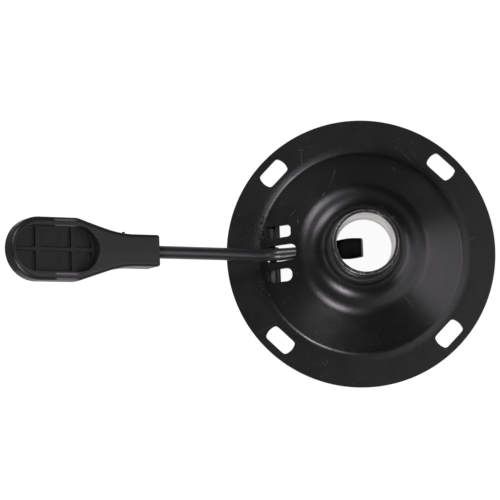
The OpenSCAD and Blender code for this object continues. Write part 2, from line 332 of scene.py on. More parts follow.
@dataclass(frozen=True)
class SatinPaint:
    """Black satin paint on steel, with fine handling scratches.

    A gritty spot is its x, y and reach. Above cut_z the paint is thin all over.
    """

    name: str
    black: Colour = (0.0024, 0.0024, 0.0026)
    scuffed: Colour = (0.05, 0.05, 0.052)
    roughness: float = 0.34
    specular: float = 0.33
    cut_z: float | None = None
    gritty: tuple[Point3, ...] = ()
    scratches: tuple[Scratch, ...] = ()
    peel: float = 0.032
    hairline: Point3 = (14, 620, 14)
    hairline_turns: Point2 = (0.5, -0.9)
    hairline_seeds: Point2 = (0.31, 0.77)
    hairline_strength: float = 0.45
    dust_strength: float = 0.9
    grit_strength: float = 0.6

    def streaks(self, shader: Shader, turn: float, seed: float) -> Num:
        """Sparse hairline scratches in one direction.

        Args:
            shader: The material.
            turn: The scratches' direction in radians.
            seed: A shift, which makes this set its own.

        Returns:
            The mask.
        """
        long = shader.place((seed, seed, 0), (0, 0, turn), self.hairline)
        patch = shader.noise(shader.place((seed, 0, 0)), 70, 1.0)
        return shader.noise(long, 1.0, 1.0).step(0.69, 0.74) * patch.step(0.55, 0.7)

    def wear(self, shader: Shader, space: Socket) -> Num:
        """Hairlines, placed scratches, dust and gritty spots.

        Args:
            shader: The material.
            space: The surface's place in metres.

        Returns:
            The mask.
        """
        x, y, _ = shader.axes(space)
        sets = [self.streaks(shader, turn, seed)
                for turn, seed in zip(self.hairline_turns, self.hairline_seeds)]
        worn = reduce(Num.top, sets) * self.hairline_strength
        for scratch in self.scratches:
            worn = worn.top(scratch.mask(x, y))
        dusty = shader.noise(space, 130, 2.0).step(0.5, 0.65)
        worn = worn.top(shader.grains(space, 420).step(0.16, 0.05) * dusty * self.dust_strength)
        for near_x, near_y, reach in self.gritty:
            near = (x - near_x * MM).hypot(y - near_y * MM).edge(reach, reach * 0.3)
            grit = shader.noise(space, 1500, 2.0).step(0.5, 0.72)
            worn = worn.top(grit * near * self.grit_strength)
        return worn

    def build(self) -> bpy.types.Material:
        """Makes the material.

        Returns:
            The material.
        """
        shader = Shader(self.name)
        space = shader.place()
        cloud = shader.noise(space, 55, 4.0)
        worn = self.wear(shader, space)
        rough = cloud * 0.16 + (self.roughness - 0.08) + worn * 0.2
        skin = shader.noise(space, 900, 2.0) + shader.noise(space, 160, 1.0) * 2.0
        normal = shader.bump(skin - worn * 0.5, self.peel)
        if self.cut_z is not None:
            cut = shader.axes(space)[2].edge(self.cut_z - 0.3, self.cut_z - 0.1)
            worn = worn.top(cut * (cloud * 0.6 + 0.5))
        colour = shader.blend(worn, self.black, self.scuffed)
        return shader.finish(colour, rough, normal, self.specular)


@dataclass(frozen=True)
class SleevePaint:
    """Paint on the turned sleeve, worn on its rim, with a painted highlight ring along its outer
    top corner and its bore left bare.
    """

    name: str
    bore_r: float
    top_z: float
    corner_r: Point2 = (15.56, 15.7)
    corner_drop: Point2 = (0.75, 0.55)
    rim_drop: Point2 = (0.9, 0.1)
    worn_end: Point3 = (0.012, -0.009, 0)
    turning: float = 0.7
    paint: Colour = (0.007, 0.007, 0.0075)
    primer_and_highlight_grey: Colour = (0.16, 0.15, 0.145)
    dull_steel: Colour = (0.50, 0.49, 0.475)
    bright_steel: Colour = (0.66, 0.65, 0.63)

    def build(self) -> bpy.types.Material:
        """Makes the material.

        Returns:
            The material.
        """
        shader = Shader(self.name)
        space = shader.place()
        x, y, z = shader.axes(space)
        radius = x.hypot(y)
        bare = radius.edge(self.bore_r + 0.1, self.bore_r + 0.03)
        chips = shader.noise(space, 520, 3.0).step(0.5, 0.58)
        rim = z.edge(*(self.top_z - drop for drop in self.rim_drop))
        patch = shader.noise(shader.place(self.worn_end), 60, 1.0).step(0.48, 0.62)
        # Painted highlight: a thin lighter ring along the outer chamfer at the top, mixed into one
        # mask with the rim's worn chips.
        high = z.edge(*(self.top_z - drop for drop in self.corner_drop))
        line = radius.edge(*self.corner_r) * high * shader.noise(space, 300, 2.0).step(0.35, 0.6)
        worn = (rim * chips * patch * 0.8).top(line * 0.55)
        turned = (z * (TAU / (self.turning * MM))).wave()
        patches = shader.noise(space, 90, 4.0)
        steel = shader.blend(patches.step(0.35, 0.7), self.dull_steel, self.bright_steel)
        colour = shader.blend(bare, shader.blend(worn, self.paint, self.primer_and_highlight_grey), steel)
        rough = bare * 0.12 + patches * 0.12 + 0.3
        normal = shader.bump(turned * bare + shader.noise(space, 900, 2.0) * 0.8, 0.02)
        return shader.finish(colour, rough, normal, 0.4, bare * 0.75 + worn * 0.6)


@dataclass(frozen=True)
class WeldPaint:
    """Paint over a weld bead, with a coarser skin."""

    name: str
    black: Colour = (0.006, 0.006, 0.006)
    crest: Colour = (0.025, 0.024, 0.023)

    def build(self) -> bpy.types.Material:
        """Makes the material.

        Returns:
            The material.
        """
        shader = Shader(self.name)
        space = shader.place()
        skin = shader.noise(space, 700, 4.0)
        colour = shader.blend(skin.step(0.55, 0.8), self.black, self.crest)
        normal = shader.bump(skin + shader.noise(space, 240, 2.0) * 2.0, 0.06)
        return shader.finish(colour, skin * 0.2 + 0.42, normal, 0.3)


@dataclass(frozen=True)
class PinSteel:
    """Dark oiled steel of the pivot pin."""

    name: str
    dark: Colour = (0.02, 0.02, 0.021)
    light: Colour = (0.07, 0.068, 0.066)

    def build(self) -> bpy.types.Material:
        """Makes the material.

        Returns:
            The material.
        """
        shader = Shader(self.name)
        drawn = shader.noise(shader.place(scale=(900, 60, 900)), 1.0, 2.0)
        blotch = shader.noise(shader.place(), 260, 3.0)
        colour = shader.blend(blotch.step(0.4, 0.75), self.dark, self.light)
        return shader.finish(colour, blotch * 0.2 + 0.28, shader.bump(drawn, 0.02), 0.4, 0.4)


@dataclass(frozen=True)
class MouldedPlastic:
    """Black moulded plastic with a fine spark-eroded grain, faint rub streaks, painted highlight
    bands along the face's rim edges and painted shade in the recess.

    A pair of lengths is where a mask starts and where it is full. A height is taken along z,
    from a plane through the frame's origin that slopes with the bar.
    """

    name: str
    slope: float = 0.5774
    highlight_bands_y: tuple[float, ...] = (13.6, 10.7, -12.2, -14.6)
    highlight_band_w: Point2 = (0.7, 0.2)
    highlight_outer_x: Point2 = (-149.0, -147.5)
    highlight_inner_x: Point2 = (-137.0, -140.0)
    face: Point2 = (-18.4, -16.9)
    recess_floor: Point2 = (-16.3, -17.3)
    recess_side: Point2 = (10.9, 10.5)
    recess_end: Point2 = (-129.0, -131.0)
    black: Colour = (0.005, 0.005, 0.0053)
    flow_grey: Colour = (0.01, 0.0099, 0.01)
    painted_highlight_grey: Colour = (0.08, 0.078, 0.08)
    recess_painted_shade: Colour = (0.003, 0.003, 0.003)

    def build(self) -> bpy.types.Material:
        """Makes the material.

        Returns:
            The material.
        """
        shader = Shader(self.name)
        space = shader.place()
        x, y, z = shader.axes(space)
        height = z + x * self.slope
        grain = shader.noise(space, 2600, 3.0, 0.65)
        flow = shader.noise(shader.place(scale=(18, 60, 18)), 1.0, 3.0)
        rubs = shader.noise(shader.place((0.1, 0, 0), (0, 0, 0.4), (20, 500, 20)), 1.0, 1.0)
        rubbed = rubs.step(0.68, 0.75) * 0.5
        # Painted highlight: lighter bands along the face's rim edges near the outer end stand in
        # for the lamps' reflection there.
        span = x.edge(*self.highlight_outer_x) * x.edge(*self.highlight_inner_x) * height.edge(*self.face)
        bands = [(y - place * MM).size().edge(*self.highlight_band_w) for place in self.highlight_bands_y]
        painted_highlight = reduce(Num.top, bands) * span * (grain * 0.8 + 0.4)
        # Painted shade: the recess below its lip is coloured darker for the shade that falls into
        # it, and made a little rougher.
        inside = height.edge(*self.recess_floor) * y.size().edge(*self.recess_side)
        inside = inside * x.edge(*self.recess_end)
        colour = shader.blend(flow.step(0.3, 0.75).top(rubbed), self.black, self.flow_grey)
        colour = shader.blend(painted_highlight, colour, self.painted_highlight_grey)
        colour = shader.blend(inside, colour, self.recess_painted_shade)
        rough = flow * 0.1 + 0.34 + rubbed * 0.12 + inside * 0.12
        return shader.finish(colour, rough, shader.bump(grain, 0.012), 0.23)


# Modelling


class Bench:
    """Edit-mode steps that every piece is made with."""

    @staticmethod
    def only(piece: Piece) -> None:
        """Selects one object alone and makes it active.

        Args:
            piece: The object.
        """
        if bpy.context.mode != "OBJECT":
            bpy.ops.object.mode_set(mode="OBJECT")
        bpy.ops.object.select_all(action="DESELECT")
        piece.select_set(True)
        bpy.context.view_layer.objects.active = piece

    @classmethod
    def edit(cls, piece: Piece, mode: str = "VERT", all_of_it: bool = False) -> None:
        """Opens a piece for editing.

        Args:
            piece: The piece.
            mode: What is selected: VERT, EDGE or FACE.
            all_of_it: Whether all of the mesh starts selected, or nothing.
        """
        cls.only(piece)
        bpy.ops.object.mode_set(mode="EDIT")
        bpy.ops.mesh.select_mode(type=mode)
        bpy.ops.mesh.select_all(action="SELECT" if all_of_it else "DESELECT")

    @staticmethod
    def close() -> None:
        """Goes back to object mode."""
        bpy.ops.object.mode_set(mode="OBJECT")

    @staticmethod
    def pick_edges(piece: Piece, wanted: Callable[[bmesh.types.BMEdge], bool]) -> int:
        """Selects edges of the open piece.

        Args:
            piece: The piece, in edit mode.
            wanted: Tells whether an edge is wanted.

        Returns:
            How many edges were selected.
        """
        mesh = bmesh.from_edit_mesh(piece.data)
        picked = 0
        for edge in mesh.edges:
            choice = wanted(edge)
            edge.select_set(choice)
            picked += choice
        mesh.select_flush_mode()
        bmesh.update_edit_mesh(piece.data)
        return picked

    @staticmethod
    def loop(name: str, points: Sequence[Sequence[float]], filled: bool) -> Piece:
        """A closed loop of vertices at points in millimetres.

        Args:
            name: The new piece's name.
            points: Corners in order, as x, y, z.
            filled: Whether the loop gets a face.

        Returns:
            The piece, in object mode.
        """
        bpy.ops.object.select_all(action="DESELECT")
        bpy.ops.mesh.primitive_circle_add(
            vertices=len(points), radius=MM, fill_type="NGON" if filled else "NOTHING")
        piece = bpy.context.object
        piece.name = piece.data.name = name
        for vertex, point in zip(piece.data.vertices, points):
            vertex.co = Vector(point) * MM
        return piece

    @classmethod
    def turned(cls, name: str, profile: Sequence[Point2], steps: int) -> Piece:
        """Spins a closed profile round the socket's axis.

        Args:
            name: The new piece's name.
            profile: Corners in order, as radius and height in millimetres.
            steps: Number of steps of the full turn.

        Returns:
            The piece, in object mode.
        """
        piece = cls.loop(name, [(r, 0.0, z) for r, z in profile], False)
        cls.edit(piece, all_of_it=True)
        bpy.ops.mesh.spin(steps=steps, angle=TAU, center=(0, 0, 0), axis=(0, 0, 1))
        cls.tidy(piece)
        return piece

    @classmethod
    def tidy(cls, piece: Piece, gap: float = 1e-6) -> None:
        """Merges doubles and points the faces outwards.

        Args:
            piece: The piece, in either mode.
            gap: Distance in metres under which vertices merge.
        """
        if bpy.context.mode != "EDIT_MESH":
            cls.edit(piece)
        bpy.ops.mesh.select_all(action="SELECT")
        bpy.ops.mesh.remove_doubles(threshold=gap)
        bpy.ops.mesh.normals_make_consistent(inside=False)
        cls.close()

    @classmethod
    def prism(cls, name: str, outline: Sequence[Sequence[float]], run: Sequence[float]) -> Piece:
        """Extrudes a filled outline.

        Args:
            name: The new piece's name.
            outline: Corners in order, as x, y, z in millimetres.
            run: The way and length of the extrusion, in millimetres.

        Returns:
            The piece, in object mode.
        """
        piece = cls.loop(name, outline, True)
        cls.edit(piece, all_of_it=True)
        bpy.ops.mesh.extrude_region_move(TRANSFORM_OT_translate={"value": tuple(Vector(run) * MM)})
        cls.tidy(piece)
        return piece

    @classmethod
    def lofted(cls, name: str, rings: Sequence[Sequence[Sequence[float]]]) -> Piece:
        """Extrudes a filled ring level by level and lays each level on its own points.

        Args:
            name: The new piece's name.
            rings: Levels from cap to cap, each with as many x, y, z points in millimetres.

        Returns:
            The closed piece, in object mode.
        """
        count = len(rings[0])
        piece = cls.loop(name, [(x, y, 0.0) for x, y in circle(0.0, 0.0, 1.0, count)], True)
        cls.edit(piece, all_of_it=True)
        for _ in rings[1:]:
            bpy.ops.mesh.extrude_region_move(TRANSFORM_OT_translate={"value": (0, 0, MM)})
        cls.close()
        for vertex in piece.data.vertices:
            level = round(vertex.co.z / MM)
            spot = round(math.atan2(vertex.co.y, vertex.co.x) / TAU * count) % count
            vertex.co = Vector(rings[level][spot]) * MM
        cls.tidy(piece)
        return piece

    @classmethod
    def bevel(cls, piece: Piece, width: float,
              wanted: Callable[[bmesh.types.BMEdge], bool]) -> None:
        """Rounds the chosen edges.

        Args:
            piece: The piece.
            width: Width of the rounding in millimetres.
            wanted: Tells whether an edge is rounded.
        """
        cls.edit(piece, "EDGE")
        if cls.pick_edges(piece, wanted):
            bpy.ops.mesh.bevel(offset=width * MM, segments=2, profile=0.5,
                               affect="EDGES", clamp_overlap=False)
        cls.close()

    @classmethod
    def solid_step(cls, piece: Piece, tool: Piece, kind: str = "DIFFERENCE") -> None:
        """Cuts a tool out of a piece, or joins it on, and removes the tool.

        Args:
            piece: The piece.
            tool: The closed tool.
            kind: DIFFERENCE or UNION.
        """
        cls.only(piece)
        step = piece.modifiers.new(kind.lower(), "BOOLEAN")
        step.operation, step.solver, step.object = kind, "EXACT", tool
        bpy.ops.object.modifier_apply(modifier=step.name)
        bpy.data.objects.remove(tool)

    @classmethod
    def joined(cls, name: str, pieces: Sequence[Piece]) -> Piece:
        """Joins pieces into one.

        Args:
            name: The name of the whole.
            pieces: The pieces; the first takes the others in.

        Returns:
            The whole.
        """
        cls.only(pieces[0])
        for piece in pieces:
            piece.select_set(True)
        bpy.ops.object.join()
        whole = bpy.context.object
        whole.name = whole.data.name = name
        return whole

    @classmethod
    def smooth(cls, piece: Piece, degrees: float = 35.0) -> None:
        """Smooth shading that keeps sharp edges, and keeps the large faces flat.

        Args:
            piece: The piece.
            degrees: Angle between faces above which an edge stays sharp.
        """
        cls.only(piece)
        bpy.ops.object.shade_smooth_by_angle(angle=math.radians(degrees))
        level = piece.modifiers.new("level_faces", "WEIGHTED_NORMAL")
        level.keep_sharp, level.weight = True, 80
        bpy.ops.object.modifier_apply(modifier=level.name)

    @staticmethod
    def dress(piece: Piece, material: bpy.types.Material) -> None:
        """Gives a piece one material."""
        piece.data.materials.clear()
        piece.data.materials.append(material)


def sharper(degrees: float) -> Callable[[bmesh.types.BMEdge], bool]:
    """A test for edges whose two faces turn by more than an angle in degrees."""
    return lambda edge: edge.calc_face_angle(0) > math.radians(degrees)


def circle(x: float, y: float, radius: float, count: int) -> list[Point2]:
    """Points at even angles round a centre x, y."""
    return [(x + radius * math.cos(TAU * i / count), y + radius * math.sin(TAU * i / count))
            for i in range(count)]


def arc(corner: Point2, start: float, turn: float, radius: float, steps: int) -> list[Point2]:
    """Points of a rounded bend at a corner.

    Args:
        corner: Where the two straight runs would meet.
        start: Direction of the run that enters the bend, in degrees.
        turn: Angle of the bend in degrees, positive to the left.
        radius: Radius of the bend.
        steps: Number of steps.

    Returns:
        The points, from the first run to the second.
    """
    sign = math.copysign(1.0, turn)
    run = radius * math.tan(math.radians(abs(turn)) / 2)
    a = math.radians(start)
    x, y = corner[0] - run * math.cos(a), corner[1] - run * math.sin(a)
    cx, cy = x - sign * radius * math.sin(a), y + sign * radius * math.cos(a)
    made = []
    for i in range(steps + 1):
        b = a + math.radians(turn) * i / steps
        made.append((cx + sign * radius * math.sin(b), cy - sign * radius * math.cos(b)))
    return made


def crossing(a: Point2, p: float, b: Point2, q: float) -> Point2:
    """Where two lines cross.

    Args:
        a: A point of the first line.
        p: Its direction in degrees.
        b: A point of the second line.
        q: Its direction in degrees.

    Returns:
        The point that both lines share.
    """
    p, q = math.radians(p), math.radians(q)
    d = math.cos(p) * math.sin(q) - math.sin(p) * math.cos(q)
    k = ((b[0] - a[0]) * math.sin(q) - (b[1] - a[1]) * math.cos(q)) / d
    return a[0] + k * math.cos(p), a[1] + k * math.sin(p)


def rounded_box(x: float, y: float, length: float, width: float, radius: float,
                steps: int = 8) -> list[Point2]:
    """Outline of a box with rounded corners.

    Args:
        x: Its left end.
        y: Its centre line.
        length: Its length along x.
        width: Its width along y.
        radius: Radius of its corners.
        steps: Number of steps in a corner.

    Returns:
        The points, to the left from the upper right corner.
    """
    corners = [(x + length, y + width / 2, 0.0), (x, y + width / 2, 90.0),
               (x, y - width / 2, 180.0), (x + length, y - width / 2, 270.0)]
    made = []
    for cx, cy, from_angle in corners:
        sx, sy = math.copysign(1, x + length / 2 - cx), math.copysign(1, y - cy)
        ox, oy = cx + sx * radius, cy + sy * radius
        for i in range(steps + 1):
            a = math.radians(from_angle + 90 * i / steps)
            made.append((ox + radius * math.cos(a), oy + radius * math.sin(a)))
    return made


@dataclass
class SeatPlate:
    """The pressed dish with its flange, slots, windows and cradle tabs.

    The ramp is its width, its rise in degrees and its radius. A window is its length or
    centre line, its width and its corner radius. Depths of the sheared rim come in pairs,
    at its two corners and at their middle. A cradle is its inner and outer radius.
    """

    flange_r: float = 68.0
    sheet: float = 2.1
    rim_under: Point2 = (0.3, 0.09)
    rim_over: Point2 = (0.16, 0.05)
    bend_r: float = 51.8
    ramp: Point3 = (2.6, 10.0, 16.0)
    crown_r: float = 31.2
    crown_z: float = 20.3
    neck_r: float = 16.12
    neck_z: float = 29.2
    neck_gap: float = 0.1
    flange_bend: float = 3.5
    shoulder: float = 11.0
    neck_bend: float = 10.0
    crown_fall: float = 9.0
    slot_pitch: float = 85.0
    slot: Point2 = (14.8, 8.0)
    slot_end_r: float = 7.5
    slot_squareness: int = 14
    slot_points: int = 96
    window_x: float = 48.303
    lever_window: Point3 = (15.19, 8.2, 2.9)
    lever_window_y: float = 0.42
    side_l: float = 12.8
    side_window: dict[Side, Point3] = field(default_factory=lambda: {
        Side.UPPER: (11.45, 6.1, 1.7),
        Side.LOWER: (-10.6, 6.4, 2.7),
    })
    punched: Point2 = (29.5, 66.5)
    punched_soft: float = 0.22
    pin: Point2 = (-44.653, 3.85)
    cradle: Point2 = (1.55, 3.65)
    cradle_reach: dict[Side, float] = field(default_factory=lambda: {
        Side.UPPER: 4.05,
        Side.LOWER: 3.65,
    })
    cradle_lead: float = 20.0
    cradle_soft: float = 0.2
    tab_root: float = 0.3
    tab_from: float = 0.2
    tab_extra: float = 1.2
    turns: int = 240

    def face(self, depth: float) -> list[Point2]:
        """The sheet's outline from the flange to the neck.

        Args:
            depth: Depth under the outer face, from 0 to the sheet's thickness.

        Returns:
            The points, as radius and height.
        """
        slope = math.degrees(math.atan((self.crown_z - self.sheet) / (self.bend_r - self.crown_r)))
        up, rad, fall = 180 - slope, math.radians(slope), math.radians(self.crown_fall)
        cone = (self.bend_r - depth * math.sin(rad), self.sheet - depth * math.cos(rad))
        crown = (self.crown_r - depth * math.sin(fall), self.crown_z - depth * math.cos(fall))
        wall = self.neck_r + self.sheet - depth
        flat = 180 - self.crown_fall
        out, rise, soft = self.ramp
        tilt = math.radians(rise)
        ramp = (self.bend_r + out - depth * math.sin(tilt), self.sheet - depth * math.cos(tilt))
        toe = crossing((self.bend_r, self.sheet - depth), 180, ramp, 180 - rise)
        foot = crossing(ramp, 180 - rise, cone, up)
        shoulder = crossing(cone, up, crown, flat)
        corner = crossing(crown, flat, (wall, self.neck_z), 90)
        flare = arc(corner, flat, self.crown_fall - 90, self.neck_bend + depth, 22)
        flare = [point for point in flare if point[1] < self.neck_z - self.neck_gap]
        return (arc(toe, 180, -rise, soft + depth, 6)
                + arc(foot, 180 - rise, rise - slope, self.flange_bend + depth, 10)
                + arc(shoulder, up, slope - self.crown_fall, self.shoulder - depth, 12)
                + flare + [((flare[-1][0] + wall) / 2, self.neck_z)])

    def profile(self) -> list[Point2]:
        """The closed outline of the sheet, with the flange's sheared edge rounded.

        Returns:
            The points, as radius and height.
        """
        edge, sheet = self.flange_r, self.sheet
        under, under_middle = self.rim_under
        over, over_middle = self.rim_over
        rim = [(edge - under, 0.0), (edge - under_middle, under_middle), (edge, under)]
        rim += [(edge, sheet - over), (edge - over_middle, sheet - over_middle),
                (edge - over, sheet)]
        return rim + self.face(0) + self.face(sheet)[::-1]

    def slot_outline(self, angle: float) -> list[Point2]:
        """One fixing slot, with straight sides, gently rounded ends and softened corners.

        Args:
            angle: Place of the slot round the flange, in degrees.

        Returns:
            The points, in the part's x and y.
        """
        length, width = self.slot
        centre, power = length / 2 - self.slot_end_r, self.slot_squareness
        ends = []
        for i in range(self.slot_points):
            a = TAU * (i + 0.5) / self.slot_points
            ux, uy = math.cos(a), math.sin(a)
            away = centre * abs(ux)
            end = away + math.sqrt(away * away - centre * centre + self.slot_end_r ** 2)
            reach = (end ** -power + (width / 2 / abs(uy)) ** -power) ** (-1 / power)
            ends.append((ux * reach, uy * reach))
        turn, out = math.radians(angle + 90), self.slot_pitch / math.sqrt(2)
        cx, cy = out * math.cos(math.radians(angle)), out * math.sin(math.radians(angle))
        return [(cx + u * math.cos(turn) - v * math.sin(turn),
                 cy + u * math.sin(turn) + v * math.cos(turn)) for u, v in ends]

    def openings(self) -> list[list[Point2]]:
        """Outlines of the three windows and the four slots.

        Returns:
            The outlines, in the part's x and y.
        """
        windows = [rounded_box(-self.window_x, self.lever_window_y, *self.lever_window)]
        for side in Side:
            y, width, radius = self.side_window[side]
            windows.append(rounded_box(-self.window_x, y, self.side_l, width, radius))
        return windows + [self.slot_outline(angle) for angle in (45, 135, 225, 315)]

    def sheared(self, edge: bmesh.types.BMEdge) -> bool:
        """Tells the edges that a punch left from all others.

        Args:
            edge: An edge of the sheet.

        Returns:
            Whether one of its faces is a punched wall and the other is not.
        """
        if len(edge.link_faces) != 2:
            return False
        walls = [abs(face.normal.z) < 0.02 for face in edge.link_faces]
        middle = (edge.verts[0].co + edge.verts[1].co) / 2
        inner, outer = self.punched
        return walls[0] != walls[1] and inner * MM < middle.xy.length < outer * MM

    def sheet_piece(self) -> Piece:
        """Spins the dish, cuts its openings and softens the sheared edges.

        Returns:
            The dish.
        """
        plate = Bench.turned("pressed_seat_plate", self.profile(), self.turns)
        for outline in self.openings():
            punch = Bench.prism("punch", [(x, y, -1.0) for x, y in outline], (0, 0, 32))
            Bench.solid_step(plate, punch)
        Bench.tidy(plate, 2e-5)
        Bench.bevel(plate, self.punched_soft, self.sheared)
        return plate

    def tab(self, side: Side) -> Piece:
        """One cradle tab, bent round the underside of the pin.

        Args:
            side: The side of the lever that it stands on.

        Returns:
            The tab.
        """
        inner, outer = self.cradle
        reach = self.cradle_reach[side]
        middle, width, _ = self.side_window[side]
        px, pz = self.pin
        root = -(self.window_x + px) - self.tab_root
        points = [(root, -inner * math.sin(math.radians(self.cradle_lead)))]
        points += [(inner * math.cos(math.radians(a)), inner * math.sin(math.radians(a)))
                   for a in range(200, 361, 8)]
        points += [(reach * math.cos(math.radians(a)), outer * math.sin(math.radians(a)))
                   for a in range(360, 206, -7)]
        points.append((root, -inner))
        y = middle - width / 2 - self.tab_from
        piece = Bench.prism(f"cradle_tab_{side.name.lower()}",
                            [(px + u, y, pz + v) for u, v in points],
                            (0, width + self.tab_extra, 0))
        Bench.bevel(piece, self.cradle_soft, sharper(50))
        Bench.smooth(piece)
        return piece

    def build(self, paint: bpy.types.Material, cut_paint: bpy.types.Material) -> list[Piece]:
        """Makes and dresses the plate's pieces.

        Args:
            paint: Paint of the dish.
            cut_paint: Paint of the tabs, thinner on their cut ends.

        Returns:
            The dish, then the tabs.
        """
        plate = self.sheet_piece()
        Bench.smooth(plate, 32)
        tabs = [self.tab(side) for side in Side]
        Bench.dress(plate, paint)
        for piece in tabs:
            Bench.dress(piece, cut_paint)
        return [plate, *tabs]


@dataclass
class TaperSleeve:
    """The turned sleeve with the tapered bore, and the bead round its foot.

    The groove is the first one's drop from the top, the pitch, the width and the depth. The
    steps of the rim and of the mouth are distances from the wall and drops from the top.
    """

    outer_r: float = 16.1
    bore_mouth_r: float = 14.35
    bore_foot_r: float = 13.8
    foot_z: float = 26.0
    top_z: float = 48.0
    foot_chamfer: float = 0.5
    rim_steps: tuple[Point2, ...] = ((0.0, 0.5), (0.12, 0.2), (0.42, 0.02), (0.6, 0.0))
    mouth_steps: tuple[Point2, ...] = ((0.38, 0.0), (0.12, 0.1), (0.0, 0.35))
    groove: tuple[float, float, float, float] = (4.4, 3.2, 0.9, 0.3)
    groove_flare: Point2 = (0.08, 0.12)
    weld: Point2 = (2.0, 1.9)
    weld_foot_z: float = 29.2
    weld_gap: float = 0.03
    ripples: float = 27.0
    ripple_h: float = 0.08
    lump_h: float = 0.12
    weld_sink: float = 0.14
    weld_turns: int = 360
    turns: int = 192

    def profile(self) -> list[Point2]:
        """Closed outline of the sleeve, with its chamfers and turned grooves.

        Returns:
            The points, as radius and height.
        """
        r, top, low, chamfer = self.outer_r, self.top_z, self.foot_z, self.foot_chamfer
        start, pitch, width, depth = self.groove
        out, back = self.groove_flare
        points = [(self.bore_foot_r, low), (r - chamfer, low), (r, low + chamfer)]
        for i in (2, 1, 0):
            z = top - start - i * pitch
            points += [(r, z - width / 2 - out), (r - depth, z - width / 2 + back),
                       (r - depth, z + width / 2 - back), (r, z + width / 2 + out)]
        points += [(r - inset, top - drop) for inset, drop in self.rim_steps]
        points += [(self.bore_mouth_r + outset, top - drop) for outset, drop in self.mouth_steps]
        return points

    def skin(self, angle: float, share: float) -> float:
        """How far the bead stands out from its plain form.

        Args:
            angle: Place round the foot, in radians.
            share: Share of the bead's height, from 0 at its foot.

        Returns:
            The distance in millimetres.
        """
        ripple = abs(math.sin(angle * self.ripples + 1.5 * share)) - 0.6
        lump = noise.noise(Vector((math.cos(angle) * 5, math.sin(angle) * 5, share * 2)))
        push = self.ripple_h * ripple + self.lump_h * lump - self.weld_sink
        return push * math.sin(math.pi * min(1, share + 0.25))

    def bead(self) -> Piece:
        """The welded bead, with the ripples of one pass round the foot.

        Returns:
            The bead.
        """
        width, height = self.weld
        inner = self.outer_r + self.weld_gap
        points = [(inner, self.weld_foot_z)]
        for i in range(11):
            a = math.radians(90 - 9 * i)
            points.append((inner + width * math.cos(a), self.weld_foot_z + height * math.sin(a)))
        bead = Bench.turned("collar_weld_bead", points, self.weld_turns)
        for vertex in bead.data.vertices:
            flat = vertex.co.xy.length / MM
            share = (vertex.co.z / MM - self.weld_foot_z) / height
            if flat < inner + 0.05 or share < 0.02:
                continue
            push = self.skin(math.atan2(vertex.co.y, vertex.co.x), share)
            vertex.co.x *= (flat + push) / flat
            vertex.co.y *= (flat + push) / flat
            vertex.co.z += push * 0.6 * MM
        Bench.smooth(bead, 60)
        return bead

    def build(self, paint: bpy.types.Material, weld: bpy.types.Material) -> list[Piece]:
        """Makes and dresses the sleeve and its bead.

        Args:
            paint: Finish of the sleeve.
            weld: Finish of the bead.

        Returns:
            The sleeve, then the bead.
        """
        sleeve = Bench.turned("taper_sleeve", self.profile(), self.turns)
        Bench.smooth(sleeve, 28)
        Bench.dress(sleeve, paint)
        bead = self.bead()
        Bench.dress(bead, weld)
        return [sleeve, bead]


